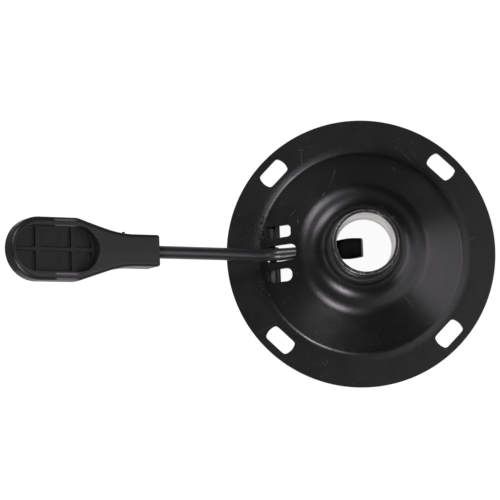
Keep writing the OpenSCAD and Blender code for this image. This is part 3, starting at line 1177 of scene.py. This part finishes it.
@dataclass
class ReleaseLever:
    """The bar, bent at the pivot and forged flat at its inner end, with its pin and beads.

    The tongue is its width, its thickness and the width of its tip. A bead's run is its shift
    outwards along the bar, its reach before it is cut, its edge across and its cut end.
    """

    rod_r: float = 3.15
    pin: Point2 = (-44.653, 3.85)
    pin_r: float = 1.5
    pin_l: float = 27.2
    pin_chamfer: float = 0.3
    bend_r: float = 14.0
    outer_rise: float = 30.0
    inner_rise: float = 19.5
    bare_l: float = 59.2
    in_grip: float = 30.0
    round_l: float = 16.38
    spread_l: float = 18.5
    tip_l: float = 7.0
    tongue: Point3 = (10.4, 3.5, 9.3)
    tongue_soft: float = 0.3
    tongue_lean: float = 0.6
    spread_ease: float = 0.35
    tip_power: float = 1.6
    squareness: float = 3.2
    # The upper bead is drawn larger than the lower and fills the left end of the upper window:
    # partly the weld, partly a dark lump standing in for shade there.
    bead_run: dict[Side, tuple[float, float, float, float]] = field(default_factory=lambda: {
        Side.UPPER: (0.0, 3.9, 4.45, 3.2),
        Side.LOWER: (-0.1, 1.95, 3.9, 2.7),
    })
    bead_from: float = 3.3
    bead_lift: float = 0.75
    bead_size: Point2 = (1.15, 1.45)
    bead_lump: Point2 = (0.14, 2.1)
    # Past this x the bar takes the darker copy of its paint, painted shade under the plate.
    shaded_from_x: float = -32.0
    sides: int = 40
    rings: tuple[int, int, int, int] = (24, 20, 6, 34)

    @property
    def bend_centre_z(self) -> float:
        """Height of the bend's centre above the seat face."""
        return self.pin[1] + self.pin_r + self.rod_r + self.bend_r

    def along(self, s: float, across: float, up: float) -> Vector:
        """Place of a point of the straight bar after bending.

        Args:
            s: Distance from the lowest point of the bend, positive towards the tongue.
            across: Distance along the pin.
            up: Distance from the centre line, away from the seat.

        Returns:
            The point in the part's frame, in millimetres.
        """
        low, high = -math.radians(self.outer_rise), math.radians(self.inner_rise)
        angle = min(max(s / self.bend_r, low), high)
        rest = s - angle * self.bend_r
        x = self.pin[0] + self.bend_r * math.sin(angle) + rest * math.cos(angle)
        z = self.bend_centre_z - self.bend_r * math.cos(angle) + rest * math.sin(angle)
        return Vector((x - up * math.sin(angle), across, z + up * math.cos(angle)))

    def stations(self) -> list[float]:
        """Distances at which the bar gets a ring of vertices.

        Returns:
            The distances, from the end in the grip to the tongue's tip.
        """
        low = -math.radians(self.outer_rise) * self.bend_r
        high = math.radians(self.inner_rise) * self.bend_r
        flat = high + self.round_l
        end = flat + self.spread_l + self.tip_l
        outer, bend, plain, forged = self.rings
        made = [low - self.bare_l - self.in_grip + i * (self.bare_l + self.in_grip) / outer
                for i in range(outer)]
        made += [low + (high - low) * i / bend for i in range(bend + 1)]
        made += [high + self.round_l * i / plain for i in range(1, plain)]
        made += [flat + (end - flat) * i / forged for i in range(forged + 1)]
        return made

    def section(self, s: float) -> Point3:
        """Section of the bar at a distance.

        Args:
            s: Distance from the lowest point of the bend.

        Returns:
            Its width, its thickness and the power that squares it, 2 for a round.
        """
        start = math.radians(self.inner_rise) * self.bend_r + self.round_l
        share = min(max((s - start) / self.spread_l, 0.0), 1.0)
        eased = share * share * (3 - 2 * share)
        ease = eased * self.spread_ease + share * (1 - self.spread_ease)
        past = max(0.0, (s - start - self.spread_l) / self.tip_l)
        wide, thick, tip = self.tongue
        plain = 2 * self.rod_r
        width = plain + (wide - plain) * ease - (wide - tip) * past ** self.tip_power
        return width, plain + (thick - plain) * ease, 2 + self.squareness * ease

    def bar(self) -> Piece:
        """Extrudes a ring station by station, then lays it along the bend.

        Returns:
            The bar.
        """
        stations = self.stations()
        ring = [(stations[0], y, z) for y, z in circle(0.0, 0.0, self.rod_r, self.sides)]
        bar = Bench.loop("release_lever_bar", ring, True)
        Bench.edit(bar, all_of_it=True)
        for before, after in zip(stations, stations[1:]):
            bpy.ops.mesh.extrude_region_move(
                TRANSFORM_OT_translate={"value": ((after - before) * MM, 0, 0)})
        Bench.tidy(bar)
        for vertex in bar.data.vertices:
            s = vertex.co.x / MM
            width, thick, power = self.section(s)
            y, z = vertex.co.y / MM / self.rod_r, vertex.co.z / MM / self.rod_r
            y = math.copysign(abs(y) ** (2 / power), y) * width / 2
            z = math.copysign(abs(z) ** (2 / power), z) * thick / 2
            lean = self.tongue_lean * max(0.0, (s - self.round_l) / stations[-1]) ** 2
            vertex.co = self.along(s, y + lean, z) * MM
        Bench.bevel(bar, self.tongue_soft, sharper(55))
        Bench.smooth(bar, 40)
        return bar

    def pivot(self) -> Piece:
        """The pin, with chamfered ends.

        Returns:
            The pin.
        """
        bpy.ops.object.select_all(action="DESELECT")
        bpy.ops.mesh.primitive_cylinder_add(
            vertices=64, radius=self.pin_r * MM, depth=self.pin_l * MM,
            location=(self.pin[0] * MM, 0, self.pin[1] * MM), rotation=(math.pi / 2, 0, 0))
        pin = bpy.context.object
        pin.name = pin.data.name = "cross_pin"
        bpy.ops.object.transform_apply(location=True, rotation=True, scale=True)
        Bench.bevel(pin, self.pin_chamfer, sharper(50))
        Bench.smooth(pin, 30)
        return pin

    def bead(self, side: Side) -> Piece:
        """One weld bead between the pin and the bar.

        Args:
            side: The side of the bar that it lies on.

        Returns:
            The bead.
        """
        back, reach, edge, end = self.bead_run[side]
        wide, high = self.bead_size
        depth, pitch = self.bead_lump
        bpy.ops.object.select_all(action="DESELECT")
        bpy.ops.mesh.primitive_uv_sphere_add(segments=40, ring_count=24, radius=MM)
        bead = bpy.context.object
        for vertex in bead.data.vertices:
            p = vertex.co / MM
            lump = 1 + depth * noise.noise(p * pitch + Vector((side.value * 3, 0, 0)))
            across = min(self.bead_from + p.y * wide * lump, edge)
            run = min(max(p.x * reach * lump, -end), end)
            vertex.co = Vector((self.pin[0] - back + run, side.value * across,
                                self.pin[1] + self.bead_lift + p.z * high * lump)) * MM
        return bead

    def beads(self) -> Piece:
        """The two weld beads, one on each side of the bar.

        Returns:
            The beads, as one piece.
        """
        beads = Bench.joined("pin_weld_beads", [self.bead(side) for side in Side])
        Bench.smooth(beads, 60)
        return beads

    def build(self, paint: bpy.types.Material, shaded_paint: bpy.types.Material,
              steel: bpy.types.Material, weld: bpy.types.Material) -> list[Piece]:
        """Makes and dresses the lever's metal pieces.

        Args:
            paint: The bar's paint, a lighter lit copy of the black on its outer part.
            shaded_paint: A darker copy of the paint, painted shade on the tongue and the last
                stretch under the plate.
            steel: Finish of the pin.
            weld: Finish of the beads.

        Returns:
            The bar, the pin and the beads.
        """
        bar, pin, beads = self.bar(), self.pivot(), self.beads()
        for piece, material in ((bar, paint), (pin, steel), (beads, weld)):
            Bench.dress(piece, material)
        bar.data.materials.append(shaded_paint)
        # Painted shade: faces past this x, the tongue and the stretch under the plate, take the
        # darker copy of the paint.
        for face in bar.data.polygons:
            face.material_index = int(face.center.x > self.shaded_from_x * MM)
        return [bar, pin, beads]


@dataclass
class PaddleGrip:
    """The moulded grip, in its own frame: x along the bar, z towards the recess.

    The recess is its length, width and depth. The cross ribs are their width, their pitch and
    the first one's distance from the recess's outer end. The steps of a cell are distances from
    its wall and heights above its floor.
    """

    length: float = 77.3
    width: float = 30.4
    paddle_t: float = 8.5
    neck_w: float = 15.6
    neck_t: float = 12.0
    neck_l: float = 12.0
    neck_points: Point2 = (4.0, 8.0)
    flare_l: float = 30.0
    flare_curve: Point2 = (0.47, 0.3)
    flare_end_r: float = 8.0
    slope_l: float = 18.0
    rim: float = 2.0
    recess: Point3 = (43.9, 21.8, 5.2)
    recess_slope: float = 2.8
    slope_reach: float = 6.0
    cross_rib: Point3 = (2.2, 18.6, 13.2)
    long_rib: float = 1.4
    rib_drop: float = 3.9
    cell_steps: tuple[Point2, ...] = ((0.9, 0.0), (0.55, 0.0), (0.22, 0.12), (0.12, 0.45))
    cell_top: Point2 = (0.1, 3.0)
    cell_points: int = 144
    cell_squareness: int = 30
    soft_r: float = 2.4
    neck_edge_r: float = 1.5
    back_edge_r: float = 0.45
    mouth_corner_r: float = 1.2
    lip_r: float = 0.28
    bore_r: float = 3.17
    bore_l: float = 30.0
    ejector: Point2 = (2.75, 0.18)
    gate_at: Point2 = (5.8, 2.6)
    gate_r: float = 0.75
    gate_steps: tuple[Point2, ...] = ((0.0, 0.6), (0.0, -1.0), (0.07, -1.15), (0.25, -1.22))

    def half(self) -> list[Point2]:
        """Upper half of the outline.

        Returns:
            The points, from the neck's mouth to the paddle's end.
        """
        top, neck = self.width / 2, self.neck_w / 2
        points = arc((0.0, neck), 90, -90, self.mouth_corner_r, 5)
        points += [(x, neck) for x in self.neck_points]
        curve_l, curve_h = self.flare_curve
        for i in range(13):
            u = i / 12
            points.append((self.neck_l + self.flare_l * curve_l * u,
                           neck + (top - neck) * curve_h * u * u))
        x0, y0 = points[-1]
        x1 = self.neck_l + self.flare_l
        points += [(x0 + (x1 - x0) * i / 6, y0 + (top - y0) * i / 6) for i in range(1, 6)]
        rise = math.degrees(math.atan2(top - y0, x1 - x0))
        points += arc((x1, top), rise, -rise, self.flare_end_r, 6)
        end = self.length - top
        points += [(x1 + (end - x1) * i / 4, top) for i in range(1, 4)]
        points += [(end + top * math.sin(math.radians(a)), top * math.cos(math.radians(a)))
                   for a in range(0, 90, 5)]
        return points

    def outline(self) -> list[Point2]:
        """The whole outline."""
        upper = self.half()
        return upper + [(self.length, 0.0)] + [(x, -y) for x, y in reversed(upper)]

    def thickness(self, x: float) -> float:
        """Thickness of the grip at a distance from the neck's mouth."""
        share = min(max((x - self.neck_l) / self.slope_l, 0.0), 1.0)
        return self.neck_t + (self.paddle_t - self.neck_t) * share

    def softness(self, x: float, y: float) -> float:
        """Radius of the edge between the face and the side.

        Args:
            x: Place on the outline along the bar.
            y: Place on the outline across the bar.

        Returns:
            The radius.
        """
        end = self.length - self.width / 2
        if x > end:
            side_rim = (self.width - self.recess[1]) / 2
            local_rim = side_rim - (side_rim - self.rim) * (x - end) / math.hypot(x - end, y)
            return min(self.soft_r, local_rim - self.lip_r - 0.1)
        if x < self.neck_l:
            return self.lip_r + (self.neck_edge_r - self.lip_r) * min(x / 1.5, 1.0)
        share = min((x - self.neck_l) / (self.flare_l * 0.8), 1.0)
        return self.neck_edge_r + (self.soft_r - self.neck_edge_r) * share

    def blank(self) -> Piece:
        """The solid grip with a soft face edge and a crisp back edge, before its recess.

        Returns:
            The blank.
        """
        outline, half = self.outline(), self.paddle_t / 2
        count, back = len(outline), self.back_edge_r
        rings: list[list[Sequence[float]]] = [[] for _ in range(11)]
        for i, (x, y) in enumerate(outline):
            (ax, ay), (bx, by) = outline[i - 1], outline[(i + 1) % count]
            span = math.dist((ax, ay), (bx, by))
            nx, ny = (ay - by) / span, (bx - ax) / span
            soft = self.softness(x, y)
            levels = [(back, -half), (back * 0.3, back * 0.3 - half), (0.0, back - half),
                      (0.0, half - soft)]
            for a in (math.radians(degrees) for degrees in range(15, 91, 15)):
                levels.append((soft * (1 - math.cos(a)), half - soft + soft * math.sin(a)))
            levels.append((soft + 0.12, half))
            for ring, (inset, z) in zip(rings, levels):
                ring.append((x - nx * inset, y - ny * inset, z))
        blank = Bench.lofted("paddle_grip", rings)
        for x in (self.neck_l, self.neck_l + self.slope_l / 2, self.neck_l + self.slope_l):
            Bench.edit(blank, all_of_it=True)
            bpy.ops.mesh.bisect(plane_co=(x * MM, 0, 0), plane_no=(1, 0, 0))
            Bench.close()
        for vertex in blank.data.vertices:
            swell = (self.thickness(vertex.co.x / MM) - self.paddle_t) / 2 * MM
            vertex.co.z += math.copysign(swell, vertex.co.z)
        return blank

    def opening(self, x0: float, x1: float, y0: float, y1: float, shrink: float) -> list[Point2]:
        """Outline of one cell of the recess.

        Args:
            x0: Inner rib's side, or far below the recess's end.
            x1: Outer rib's side, or far past the recess's end.
            y0: Lower rib's side, or far past the recess's side.
            y1: Upper rib's side, or far past the recess's side.
            shrink: Distance by which the outline is drawn in.

        Returns:
            The points, seen from the cell's middle at even angles, with softened corners.
        """
        length, width, _ = self.recess
        outer, r = self.length - self.rim, width / 2
        left, right = outer - length + r, outer - r
        cx = (max(x0, outer - length) + min(x1, outer)) / 2
        cy = (max(y0, -r) + min(y1, r)) / 2
        r -= shrink
        made = []
        for i in range(self.cell_points):
            a = TAU * (i + 0.5) / self.cell_points
            ux, uy = math.cos(a), math.sin(a)
            side = (math.copysign(r, uy) - cy) / uy
            if not left <= cx + side * ux <= right:
                centre = right if cx + side * ux > right else left
                b = (cx - centre) * ux + cy * uy
                side = -b + math.sqrt(b * b - (cx - centre) ** 2 - cy * cy + r * r)
            spans = [side, ((x1 - shrink if ux > 0 else x0 + shrink) - cx) / ux,
                     ((y1 - shrink if uy > 0 else y0 + shrink) - cy) / uy]
            reach = sum(d ** -self.cell_squareness for d in spans) ** (-1 / self.cell_squareness)
            made.append((cx + ux * reach, cy + uy * reach))
        return made

    def layered(self, cell: Sequence[float], levels: Sequence[Point2]) -> list[list[Point3]]:
        """Rings of a cutting tool.

        Args:
            cell: The cell's x0, x1, y0 and y1, as opening takes them.
            levels: How far each ring is drawn in, and its height.

        Returns:
            The rings, from the lowest.
        """
        return [[(x, y, z) for x, y in self.opening(*cell, inset)] for inset, z in levels]

    def sloped(self, ring: Sequence[Point3]) -> list[Point3]:
        """Draws a ring's inner end outwards, for the slope at the recess's end.

        Args:
            ring: The ring.

        Returns:
            The drawn ring.
        """
        end = self.length - self.rim - self.recess[0]
        return [(x + max(0.0, 1 - (x - end) / self.slope_reach) * self.recess_slope, y, z)
                for x, y, z in ring]

    def carve(self, grip: Piece) -> None:
        """Cuts the recess with its rounded lip, and the cells round its ribs.

        Args:
            grip: The blank.
        """
        length, _, depth = self.recess
        top, outer, lip = self.paddle_t / 2, self.length - self.rim, self.lip_r
        levels = [(0.0, top - self.rib_drop), (0.0, top - lip), (-lip * 0.13, top - lip * 0.5),
                  (-lip * 0.5, top - lip * 0.13), (-lip, top + 0.01), (-lip - 0.05, top + 4)]
        rings = self.layered((-FAR, FAR, -FAR, FAR), levels)
        Bench.solid_step(grip, Bench.lofted("recess_top", rings))
        rib, pitch, start = self.cross_rib
        stops = [outer, outer - start, outer - start - pitch, outer - length]
        levels = [(inset, top - depth + rise) for inset, rise in self.cell_steps]
        levels.append((self.cell_top[0], top + self.cell_top[1]))
        for i in range(3):
            x1 = stops[i] - rib / 2 if i else FAR
            x0 = stops[i + 1] + rib / 2 if i < 2 else -FAR
            for side in Side:
                y0, y1 = sorted((side.value * self.long_rib / 2, side.value * FAR))
                rings = self.layered((x0, x1, y0, y1), levels)
                if i == 2:
                    rings = [self.sloped(ring) for ring in rings[:-1]] + rings[-1:]
                Bench.solid_step(grip, Bench.lofted("recess_cell", rings))

    def marks(self, grip: Piece) -> None:
        """Presses the two round ejector marks into the recess's floor.

        Args:
            grip: The carved grip.
        """
        _, pitch, start = self.cross_rib
        radius, depth = self.ejector
        x = self.length - self.rim - start - pitch / 2
        floor = self.paddle_t / 2 - self.recess[2]
        for side in Side:
            y = side.value * self.recess[1] / 4
            ring = [(u, v, floor - depth) for u, v in circle(x, y, radius, 48)]
            Bench.solid_step(grip, Bench.prism("ejector", ring, (0, 0, 2)))

    def gate(self, grip: Piece) -> None:
        """Leaves the small stub of the moulding gate on the neck's side.

        Args:
            grip: The carved grip.
        """
        x, y, z = self.neck_l + self.gate_at[0], -self.neck_w / 2, self.gate_at[1]
        rings = [[(u, y + out, w) for u, w in circle(x, z, self.gate_r - inset, 20)]
                 for inset, out in self.gate_steps]
        Bench.solid_step(grip, Bench.lofted("gate_stub", rings), "UNION")

    def place(self, grip: Piece, lever: ReleaseLever) -> None:
        """Puts the grip on the bar.

        Args:
            grip: The finished grip, in its own frame.
            lever: The lever that carries it.
        """
        base = lever.along(-math.radians(lever.outer_rise) * lever.bend_r, 0, 0)
        turn = (Matrix.Rotation(math.radians(lever.outer_rise), 4, "Y")
                @ Matrix.Rotation(math.pi, 4, "Z")
                @ Matrix.Translation((lever.bare_l * MM, 0, 0)))
        grip.data.transform(Matrix.Translation(base * MM) @ turn)

    def build(self, plastic: bpy.types.Material, lever: ReleaseLever) -> list[Piece]:
        """Makes and dresses the grip.

        Args:
            plastic: Finish of the grip.
            lever: The lever that carries it.

        Returns:
            The grip.
        """
        grip = self.blank()
        ring = [(-1.0, y, z) for y, z in circle(0.0, 0.0, self.bore_r, 48)]
        Bench.solid_step(grip, Bench.prism("bar_bore", ring, (self.bore_l + 1.0, 0, 0)))
        self.carve(grip)
        self.marks(grip)
        self.gate(grip)
        Bench.tidy(grip, 5e-6)
        Bench.dress(grip, plastic)
        self.place(grip, lever)
        Bench.smooth(grip, 32)
        return [grip]


@dataclass
class Spatter:
    """Grains of weld spatter stuck under the paint beside the windows.

    A field is its ends along x, its ends along y and its number of grains.
    """

    fields: tuple[tuple[float, float, float, float, int], ...] = (
        (-62.0, -48.8, 4.2, 15.5, 130),
        (-51.5, -48.3, 8.0, 27.0, 110),
        (-53.8, -49.0, -20.5, -12.0, 50),
    )
    grain_r: float = 0.12
    grain_spread: float = 0.32
    flattened: Point2 = (0.6, 1.0)
    seed: int = 11

    def surface(self, plate: SeatPlate, x: float, y: float) -> float:
        """Height of the plate's outer face at a place.

        Args:
            plate: The plate.
            x: The place's x.
            y: The place's y.

        Returns:
            The height.
        """
        r = math.hypot(x, y)
        points = plate.face(0)
        if r >= points[0][0]:
            return plate.sheet
        for (r0, z0), (r1, z1) in zip(points, points[1:]):
            if r1 <= r <= r0 and r0 > r1:
                return z0 + (z1 - z0) * (r0 - r) / (r0 - r1)
        return plate.crown_z

    def grain(self, plate: SeatPlate, ball: bpy.types.Mesh, area: Sequence[float],
              draw: random.Random) -> Piece:
        """One grain, at a random place of a field.

        Args:
            plate: The plate that it sticks to.
            ball: The mesh of a ball of 1 mm radius.
            area: The field.
            draw: Source of the random draws.

        Returns:
            The grain.
        """
        x0, x1, y0, y1, _ = area
        x, y = draw.uniform(x0, x1), draw.uniform(y0, y1)
        size = self.grain_r + self.grain_spread * draw.random() ** 3
        squash = draw.uniform(*self.flattened)
        z = self.surface(plate, x, y)
        copy = ball.copy()
        for vertex in copy.vertices:
            p = vertex.co / MM * size
            vertex.co = Vector((x + p.x, y + p.y, z + p.z * squash)) * MM
        grain = bpy.data.objects.new("grain", copy)
        bpy.context.scene.collection.objects.link(grain)
        return grain

    def build(self, plate: SeatPlate, paint: bpy.types.Material) -> list[Piece]:
        """Scatters the grains as one piece.

        Args:
            plate: The plate that they stick to.
            paint: The plate's paint.

        Returns:
            The grains.
        """
        draw = random.Random(self.seed)
        bpy.ops.object.select_all(action="DESELECT")
        bpy.ops.mesh.primitive_ico_sphere_add(subdivisions=2, radius=MM)
        ball = bpy.context.object
        grains = [self.grain(plate, ball.data, area, draw)
                  for area in self.fields for _ in range(area[-1])]
        bpy.data.objects.remove(ball)
        piece = Bench.joined("weld_spatter", grains)
        Bench.smooth(piece, 60)
        Bench.dress(piece, paint)
        return [piece]


# Studio


@dataclass(frozen=True)
class Softbox:
    """A soft rectangular lamp, aimed at the plate from a distance in metres."""

    name: str
    azimuth: float
    elevation: float
    distance: float
    size: Point2
    power: float
    tint: Colour = (1.0, 0.95, 1.0)
    aim: Point3 = (0, 0, 0.02)

    def build(self) -> None:
        """Hangs the lamp."""
        data = bpy.data.lights.new(self.name, "AREA")
        data.shape, data.size, data.size_y = "RECTANGLE", *self.size
        data.energy, data.color = self.power, self.tint
        lamp = bpy.data.objects.new(self.name, data)
        bpy.context.scene.collection.objects.link(lamp)
        a, e = math.radians(self.azimuth), math.radians(self.elevation)
        way = Vector((math.cos(a) * math.cos(e), math.sin(a) * math.cos(e), math.sin(e)))
        lamp.location = Vector(self.aim) + way * self.distance
        lamp.rotation_euler = (-way).to_track_quat("-Z", "Y").to_euler()


@dataclass(frozen=True)
class WhiteTable:
    """The table, white to the camera and near the object to reflections, with its shadow.

    A pair is where a mask starts and where it is full. The near part is a strip along the object;
    the two rings paint the dish's shadow, a dim stripe of the table under the dish that
    reflections see.
    """

    radius: float = 6000.0
    drop: float = 0.2
    near_x: float = -50.0
    near_half_l: float = 100.0
    near: Point2 = (110.0, 50.0)
    shadow_ring_inner: Point2 = (18.0, 21.0)
    shadow_ring_outer: Point2 = (34.0, 28.0)
    far_share: float = 0.12
    white: float = 0.955
    lit_grey: Colour = (0.8, 0.8, 0.8)
    seen_grey: Colour = (0.08, 0.08, 0.08)

    def paper(self, shader: Shader) -> Num:
        """How white the table is to reflections.

        Args:
            shader: The table's material.

        Returns:
            The share of full white.
        """
        x, y, _ = shader.axes(shader.place())
        beside = ((x - self.near_x * MM).size() - self.near_half_l * MM).top(0.0)
        out = x.hypot(y)
        # Painted shadow: reflections see the table dim in a ring under the dish, where the dish
        # shades it.
        dish_shadow = out.edge(*self.shadow_ring_inner) * out.edge(*self.shadow_ring_outer)
        paper = beside.hypot(y).edge(*self.near) * (1 - dish_shadow)
        return paper * (1 - self.far_share) + self.far_share

    def build(self) -> None:
        """Lays the table under the object."""
        bpy.ops.object.select_all(action="DESELECT")
        bpy.ops.mesh.primitive_circle_add(vertices=96, radius=self.radius * MM, fill_type="NGON",
                                          location=(0, 0, -self.drop * MM))
        floor = bpy.context.object
        floor.name = "white_table"
        shader = Shader("white_table")
        rays = shader.add("ShaderNodeLightPath", {}, {})
        to_camera, to_gloss, through = (
            Num(shader, rays.outputs[f"Is {kind} Ray"])
            for kind in ("Camera", "Glossy", "Transmission"))
        seen = (to_camera + to_gloss + through).low(1.0)
        paper = self.paper(shader).top(to_camera)
        lit = shader.add("ShaderNodeBsdfDiffuse", {}, {"Color": self.lit_grey})
        faint = shader.add("ShaderNodeBsdfDiffuse", {}, {"Color": self.seen_grey})
        glow = shader.add("ShaderNodeEmission", {},
                          {"Color": (1.0, 1.0, 1.0), "Strength": paper * self.white})
        both = shader.add("ShaderNodeAddShader", {}, {0: faint.outputs[0], 1: glow.outputs[0]})
        mixed = shader.add("ShaderNodeMixShader", {},
                           {0: seen, 1: lit.outputs[0], 2: both.outputs[0]})
        shader.feed(shader.output.inputs["Surface"], mixed.outputs[0])
        Bench.dress(floor, shader.material)


@dataclass
class Studio:
    """White table, surroundings, lamps and the camera of the photograph."""

    camera_at: Point3 = (-60.9, -121.6, 1054.6)
    aim: Point3 = (-56.06, 3.95, 0.0)
    roll: float = 2.222
    focal_px: float = 2095.1
    picture_px: float = 500.0
    sensor: float = 36.0
    room_grey: Colour = (0.042, 0.04, 0.042)
    lamps: tuple[Softbox, ...] = (
        Softbox("softbox_upper_left", 128, 42, 1.1, (0.34, 0.6), 10.4),
        Softbox("softbox_lower_left", 240, 38, 1.1, (0.3, 0.34), 11.8),
        Softbox("tall_panel_right", 345, 52, 1.1, (0.7, 1.1), 6.0),
        Softbox("low_panel_right", 352, 13, 1.2, (1.3, 0.5), 6.7),
        Softbox("ceiling", 64, 82, 2.0, (0.8, 0.8), 0.24),
    )

    def camera(self) -> None:
        """Stands the camera where the photograph was taken from."""
        data = bpy.data.cameras.new("photo_camera")
        data.sensor_width = self.sensor
        data.lens = self.focal_px / self.picture_px * data.sensor_width
        data.clip_start, data.clip_end = 0.05, 20.0
        camera = bpy.data.objects.new("photo_camera", data)
        bpy.context.scene.collection.objects.link(camera)
        place, aim = Vector(self.camera_at) * MM, Vector(self.aim) * MM
        back = (place - aim).normalized()
        turn = math.radians(self.roll)
        right = Vector((math.cos(turn), -math.sin(turn), 0.0))
        right = (right - back * right.dot(back)).normalized()
        up = back.cross(right)
        camera.matrix_world = Matrix(((right.x, up.x, back.x, place.x),
                                      (right.y, up.y, back.y, place.y),
                                      (right.z, up.z, back.z, place.z), (0, 0, 0, 1)))
        bpy.context.scene.camera = camera

    def surroundings(self) -> None:
        """A dim room, white where the camera sees it."""
        world = bpy.data.worlds.new("room")
        bpy.context.scene.world = world
        world.use_nodes = True
        room = Nodes(world.node_tree)
        seen = room.value("ShaderNodeLightPath", {}, {}, "Is Camera Ray")
        colour = room.blend(seen, self.room_grey, (1.0, 1.0, 1.0))
        background = room.add("ShaderNodeBackground", {}, {"Color": colour})
        room.add("ShaderNodeOutputWorld", {}, {"Surface": background.outputs[0]})

    def build(self) -> None:
        """Sets up everything round the object."""
        bpy.context.scene.view_settings.view_transform = "Standard"
        self.camera()
        WhiteTable().build()
        self.surroundings()
        for lamp in self.lamps:
            lamp.build()


def hand_over(pieces: Sequence[Piece], body: Body, slot: str, *nodes: str) -> None:
    """Lets pieces ride on a body in place of CAD nodes.

    Args:
        pieces: The finished pieces.
        body: The body that carries them.
        slot: The record's material slot; not used.
        nodes: The CAD nodes that they replace.
    """
    for piece in pieces:
        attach(piece, body.value)
        LOG.info("%s rides on %s with %d faces", piece.name, body.value, len(piece.data.polygons))
    if nodes:
        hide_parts(*nodes)


def main() -> None:
    """Builds the pieces and the studio."""
    logging.basicConfig(level=logging.INFO, format="%(name)s: %(message)s")
    plate, sleeve, lever, grip = SeatPlate(), TaperSleeve(), ReleaseLever(), PaddleGrip()
    paint = SatinPaint(
        "plate_satin_black", scratches=PLATE_SCRATCHES, gritty=((-51.0, 12.5, 9.0),)).build()
    # Lit and shaded copies of one black: the bar's outer arm is painted lighter, the tongue under
    # the plate darker and duller.
    bar_lit_paint = SatinPaint(
        "lever_satin_black_painted_light", black=(0.013, 0.013, 0.0135), roughness=0.32, specular=0.37).build()
    tongue_shaded_paint = SatinPaint(
        "tongue_black_painted_shade", black=(0.0022, 0.0021, 0.0021), roughness=0.3, specular=0.12).build()
    tab_paint = SatinPaint(
        "tab_satin_black", scuffed=(0.032, 0.031, 0.03), cut_z=plate.pin[1]).build()
    bore_paint = SleevePaint(
        "sleeve_black_and_bare_bore", sleeve.bore_mouth_r, sleeve.top_z).build()
    weld = WeldPaint("painted_weld").build()
    steel = PinSteel("dark_pin_steel").build()
    plastic = MouldedPlastic("black_moulded_plastic").build()

    sheet_and_tabs = plate.build(paint, tab_paint)
    hand_over(sheet_and_tabs, Body.PLATE, "plate_paint", "mounting_plate")
    hand_over(Spatter().build(plate, paint), Body.PLATE, "plate_paint")
    collar, bead = sleeve.build(bore_paint, weld)
    hand_over([collar], Body.PLATE, "collar_paint", "taper_collar")
    hand_over([bead], Body.PLATE, "weld_paint", "collar_weld")
    bar, pin, beads = lever.build(bar_lit_paint, tongue_shaded_paint, steel, weld)
    hand_over([bar], Body.LEVER, "lever_paint", "lever_rod")
    hand_over([pin], Body.LEVER, "pin_steel", "pivot_pin")
    hand_over([beads], Body.LEVER, "weld_paint", "pin_weld")
    hand_over(grip.build(plastic, lever), Body.LEVER, "grip_plastic", "handle_grip")
    Studio().build()


if __name__ == "__main__":
    main()
